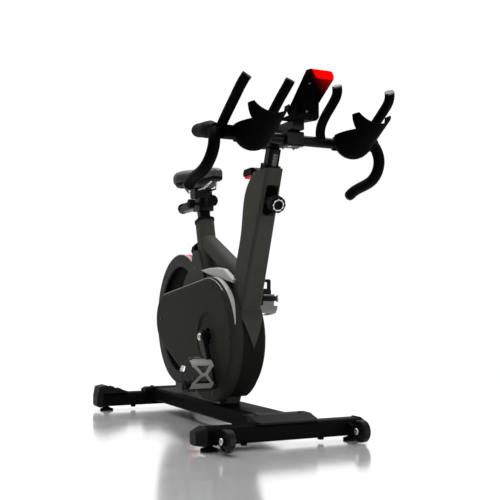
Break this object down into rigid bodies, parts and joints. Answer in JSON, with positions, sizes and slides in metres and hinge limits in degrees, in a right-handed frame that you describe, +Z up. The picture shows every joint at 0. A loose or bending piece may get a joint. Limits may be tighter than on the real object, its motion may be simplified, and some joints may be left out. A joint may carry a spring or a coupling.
{
  "type": "indoor cycling bike",
  "caption": "Indoor cycling bike with rear flywheel under teardrop drive covers, belt-driven crank, sliding saddle and race handlebar with aero bars, bottle cups and console",
  "frame": {"origin": "on the floor under the middle of the bike's overall length and width", "axes": "+X is forward, +Y is to the rider's left, +Z is up"},
  "size_m": [1.2754, 0.5564, 1.0012],
  "materials": {
    "base_paint": "black powder coat",
    "frame_paint": "matte charcoal powder coat",
    "cover_plastic": "fine-grained matte charcoal",
    "black_plastic": "fine-grained black",
    "black_rubber": "matte black",
    "grip_rubber": "soft-touch black bar coating",
    "silver": "satin silver",
    "steel": "brushed",
    "bright_chrome": "polished",
    "flywheel_iron": "turned and painted dark grey",
    "red_accent": "red",
    "red_lens": "translucent red, lit",
    "screen": "black glass-like panel",
    "vinyl": "stitched dark vinyl",
    "grey_plastic": "light grey",
    "cage_grey": "satin dark grey",
    "dark_alloy": "black anodised"
  },
  "bodies": {
    "frame": {"stabilizers": "base_paint", "base_covers": "black_plastic", "spine_beam": "base_paint", "front_shroud": "cover_plastic", "bolts_and_pins": "steel", "frame_column": "frame_paint", "seat_tube": "frame_paint", "top_tube": "frame_paint", "frame_core": "frame_paint", "rear_stays": "frame_paint", "post_sleeves": "black_plastic", "right_cover": "cover_plastic", "left_cover": "cover_plastic", "silver_trim": "silver", "drive_belt": "black_rubber"},
    "crank_set": {"crank_arms": "dark_alloy", "crank_axle_and_spindles": "steel", "drive_pulley": "dark_alloy"},
    "right_pedal": {"pedal_right": "dark_alloy", "toe_cage_right": "cage_grey", "toe_strap_right": "black_rubber"},
    "left_pedal": {"pedal_left": "dark_alloy", "toe_cage_left": "cage_grey", "toe_strap_left": "black_rubber"},
    "flywheel_set": {"flywheel": "flywheel_iron", "flywheel_band": "red_accent", "flywheel_shaft": "steel"},
    "seat_post_set": {"seat_post": "dark_alloy"},
    "saddle_set": {"saddle_slider": "dark_alloy", "slider_end_caps": "black_plastic", "saddle_rails": "steel", "saddle_shell": "black_plastic", "saddle_cushion": "vinyl"},
    "saddle_lock": {"saddle_slider_knob": "black_plastic"},
    "seat_lock": {"seat_knob": "black_plastic"},
    "bar_post_set": {"bar_post": "dark_alloy", "bar_post_scale": "grey_plastic"},
    "handlebar_set": {"bar_slider": "dark_alloy", "stem_bolts": "steel", "crossbar": "dark_alloy", "drop_bars": "grip_rubber", "aero_bars": "grip_rubber", "bar_end_plugs": "grey_plastic", "bottle_cups": "black_plastic", "console_housing": "black_plastic", "console_screen": "screen", "console_lens": "red_lens", "console_mount": "black_plastic"},
    "bar_slider_lock": {"bar_slider_knob": "black_plastic"},
    "bar_lock": {"bar_knob": "black_plastic", "bar_knob_ring": "bright_chrome"},
    "lever": {"brake_lever": "black_plastic", "brake_lever_pad": "red_accent"},
    "brake_yoke": {"magnet_yoke": "base_paint"},
    "right_wheel": {"transport_wheel_right": "black_plastic"},
    "left_wheel": {"transport_wheel_left": "black_plastic"},
    "front_right_foot": {"foot_front_right": "black_rubber"},
    "front_left_foot": {"foot_front_left": "black_rubber"},
    "rear_right_foot": {"foot_rear_right": "black_rubber"},
    "rear_left_foot": {"foot_rear_left": "black_rubber"}
  },
  "joints": [
    {"name": "flywheel_spin", "type": "hinge", "parent": "frame", "child": "flywheel_set", "pos_m": [-0.3907, 0, 0.338], "axis": [0, 1, 0], "continuous": true},
    {"name": "crank_spin", "type": "hinge", "parent": "frame", "child": "crank_set", "pos_m": [0.0013, 0, 0.288], "axis": [0, 1, 0], "continuous": true},
    {"name": "right_pedal_spin", "type": "hinge", "parent": "crank_set", "child": "right_pedal", "pos_m": [0.09389, -0.152, 0.14543], "axis": [0, 1, 0], "continuous": true},
    {"name": "left_pedal_spin", "type": "hinge", "parent": "crank_set", "child": "left_pedal", "pos_m": [-0.09129, 0.152, 0.43057], "axis": [0, 1, 0], "continuous": true},
    {"name": "seat_height", "type": "slide", "parent": "frame", "child": "seat_post_set", "axis": [-0.2756, 0, 0.9613], "range_m": [-0.02, 0.12]},
    {"name": "saddle_reach", "type": "slide", "parent": "seat_post_set", "child": "saddle_set", "axis": [1, 0, 0], "range_m": [-0.02, 0.08]},
    {"name": "saddle_lock_turn", "type": "hinge", "parent": "seat_post_set", "child": "saddle_lock", "pos_m": [-0.20838, -0.035, 0.734], "axis": [0, 1, 0], "range_deg": [-180, 180]},
    {"name": "seat_lock_pull", "type": "slide", "parent": "frame", "child": "seat_lock", "axis": [-0.9613, 0, -0.2756], "range_m": [0, 0.01], "stiffness_N_per_m": 600, "springref_m": -0.004},
    {"name": "bar_height", "type": "slide", "parent": "frame", "child": "bar_post_set", "axis": [0.3584, 0, 0.9336], "range_m": [-0.03, 0.12]},
    {"name": "bar_reach", "type": "slide", "parent": "bar_post_set", "child": "handlebar_set", "axis": [1, 0, 0], "range_m": [-0.025, 0.02]},
    {"name": "bar_slider_lock_turn", "type": "hinge", "parent": "bar_post_set", "child": "bar_slider_lock", "pos_m": [0.32473, -0.038, 0.88], "axis": [0, 1, 0], "range_deg": [-180, 180]},
    {"name": "bar_lock_pull", "type": "slide", "parent": "frame", "child": "bar_lock", "axis": [0.9336, 0, -0.3584], "range_m": [0, 0.01], "stiffness_N_per_m": 600, "springref_m": -0.004},
    {"name": "lever_tilt", "type": "hinge", "parent": "frame", "child": "lever", "pos_m": [0.2513, 0, 0.774], "axis": [0, 1, 0], "range_deg": [-12, 35]},
    {"name": "yoke_swing", "type": "hinge", "parent": "frame", "child": "brake_yoke", "pos_m": [-0.2027, 0, 0.512], "axis": [0, 1, 0], "range_deg": [-1.8, 5.25]},
    {"name": "right_wheel_spin", "type": "hinge", "parent": "frame", "child": "right_wheel", "pos_m": [0.4613, -0.205, 0.036], "axis": [0, 1, 0], "continuous": true},
    {"name": "left_wheel_spin", "type": "hinge", "parent": "frame", "child": "left_wheel", "pos_m": [0.4613, 0.205, 0.036], "axis": [0, 1, 0], "continuous": true},
    {"name": "front_right_foot_screw", "type": "slide", "parent": "frame", "child": "front_right_foot", "axis": [0, 0, -1], "range_m": [0, 0.01]},
    {"name": "front_left_foot_screw", "type": "slide", "parent": "frame", "child": "front_left_foot", "axis": [0, 0, -1], "range_m": [0, 0.01]},
    {"name": "rear_right_foot_screw", "type": "slide", "parent": "frame", "child": "rear_right_foot", "axis": [0, 0, -1], "range_m": [0, 0.01]},
    {"name": "rear_left_foot_screw", "type": "slide", "parent": "frame", "child": "rear_left_foot", "axis": [0, 0, -1], "range_m": [0, 0.01]}
  ],
  "couplings": [
    {"joint": "crank_spin", "follows": "flywheel_spin", "ratio": 0.2},
    {"joint": "yoke_swing", "follows": "lever_tilt", "ratio": 0.15}
  ]
}
